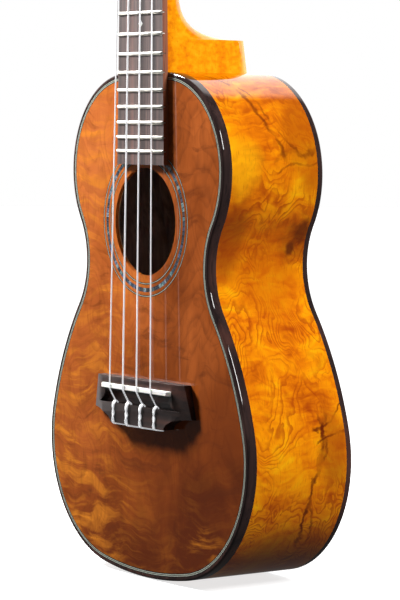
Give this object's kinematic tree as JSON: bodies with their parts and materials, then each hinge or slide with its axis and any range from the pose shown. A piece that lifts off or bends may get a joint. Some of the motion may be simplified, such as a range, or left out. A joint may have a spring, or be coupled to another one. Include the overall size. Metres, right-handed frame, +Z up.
{
  "type": "concert ukulele",
  "caption": "Concert ukulele with a figured gloss body, dark binding, shell-ring soundhole, fretted rosewood board, tie bridge, bolted neck and geared tuners.",
  "frame": {"origin": "hanger seat: midway between the headstock's shoulders, in the middle of the headstock's wood", "axes": "+Z up the neck from body to headstock, soundboard faces -Y, +X to the treble side"},
  "size_m": [0.194, 0.0797, 0.6078],
  "materials": {
    "top_wood": "gloss lacquer",
    "back_wood": "gloss lacquer",
    "side_wood": "gloss lacquer",
    "neck_wood": "gloss lacquer",
    "inner_wood": "raw",
    "brace_wood": "raw",
    "binding": "gloss lacquer",
    "purfling": "gloss lacquer",
    "shell": "gloss",
    "rosewood": "satin",
    "rosewood_dark": "satin",
    "head_veneer": "gloss lacquer",
    "fret_wire": "polished",
    "pearl": "gloss",
    "bone": "polished",
    "string": "smooth",
    "chrome": "polished",
    "brass": "polished",
    "steel": "plated",
    "button": "gloss"
  },
  "bodies": {
    "ukulele": {"soundboard": "top_wood", "back_plate": "back_wood", "side_bass": "side_wood", "side_treble": "side_wood", "neck_block": "inner_wood", "tail_block": "inner_wood", "top_linings": "inner_wood", "back_linings": "inner_wood", "transverse_bars": "brace_wood", "fan_braces": "brace_wood", "bridge_plate": "brace_wood", "soundhole_patch": "brace_wood", "back_braces": "brace_wood", "back_strip": "brace_wood", "top_binding": "binding", "back_binding": "binding", "top_purfling": "purfling", "rosette_lines": "purfling", "rosette_shell": "shell", "neck": "neck_wood", "neck_bolt": "steel", "neck_insert": "brass", "fretboard": "rosewood", "frets": "fret_wire", "fret_markers": "pearl", "side_dots": "pearl", "headplate": "head_veneer", "nut": "bone", "bridge": "rosewood_dark", "saddle": "bone", "string_g": "string", "string_c": "string", "string_e": "string", "string_a": "string", "tuner_plates": "chrome", "tuner_bushings": "chrome", "tuner_screws": "steel"},
    "button_g_body": {"worm_g": "steel", "button_g": "button"},
    "post_g_body": {"post_g": "chrome", "gear_g": "brass", "gear_screw_g": "steel"},
    "button_c_body": {"worm_c": "steel", "button_c": "button"},
    "post_c_body": {"post_c": "chrome", "gear_c": "brass", "gear_screw_c": "steel"},
    "button_e_body": {"worm_e": "steel", "button_e": "button"},
    "post_e_body": {"post_e": "chrome", "gear_e": "brass", "gear_screw_e": "steel"},
    "button_a_body": {"worm_a": "steel", "button_a": "button"},
    "post_a_body": {"post_a": "chrome", "gear_a": "brass", "gear_screw_a": "steel"}
  },
  "joints": [
    {"name": "button_g_turn", "type": "hinge", "parent": "ukulele", "child": "button_g_body", "pos_m": [-0.024, 0.01298, 0.01539], "axis": [1, 0, 0], "continuous": true},
    {"name": "post_g_turn", "type": "hinge", "parent": "ukulele", "child": "post_g_body", "pos_m": [-0.024, -0.00049, 0.02464], "axis": [0, 0.9781, -0.2079], "continuous": true},
    {"name": "button_c_turn", "type": "hinge", "parent": "ukulele", "child": "button_c_body", "pos_m": [-0.024, 0.02213, 0.05842], "axis": [1, 0, 0], "continuous": true},
    {"name": "post_c_turn", "type": "hinge", "parent": "ukulele", "child": "post_c_body", "pos_m": [-0.024, 0.00866, 0.06768], "axis": [0, 0.9781, -0.2079], "continuous": true},
    {"name": "button_e_turn", "type": "hinge", "parent": "ukulele", "child": "button_e_body", "pos_m": [0.024, 0.02213, 0.05842], "axis": [1, 0, 0], "continuous": true},
    {"name": "post_e_turn", "type": "hinge", "parent": "ukulele", "child": "post_e_body", "pos_m": [0.024, 0.00866, 0.06768], "axis": [0, 0.9781, -0.2079], "continuous": true},
    {"name": "button_a_turn", "type": "hinge", "parent": "ukulele", "child": "button_a_body", "pos_m": [0.024, 0.01298, 0.01539], "axis": [1, 0, 0], "continuous": true},
    {"name": "post_a_turn", "type": "hinge", "parent": "ukulele", "child": "post_a_body", "pos_m": [0.024, -0.00049, 0.02464], "axis": [0, 0.9781, -0.2079], "continuous": true}
  ],
  "couplings": [
    {"joint": "post_g_turn", "follows": "button_g_turn", "ratio": -0.071429},
    {"joint": "post_c_turn", "follows": "button_c_turn", "ratio": -0.071429},
    {"joint": "post_e_turn", "follows": "button_e_turn", "ratio": 0.071429},
    {"joint": "post_a_turn", "follows": "button_a_turn", "ratio": 0.071429}
  ]
}
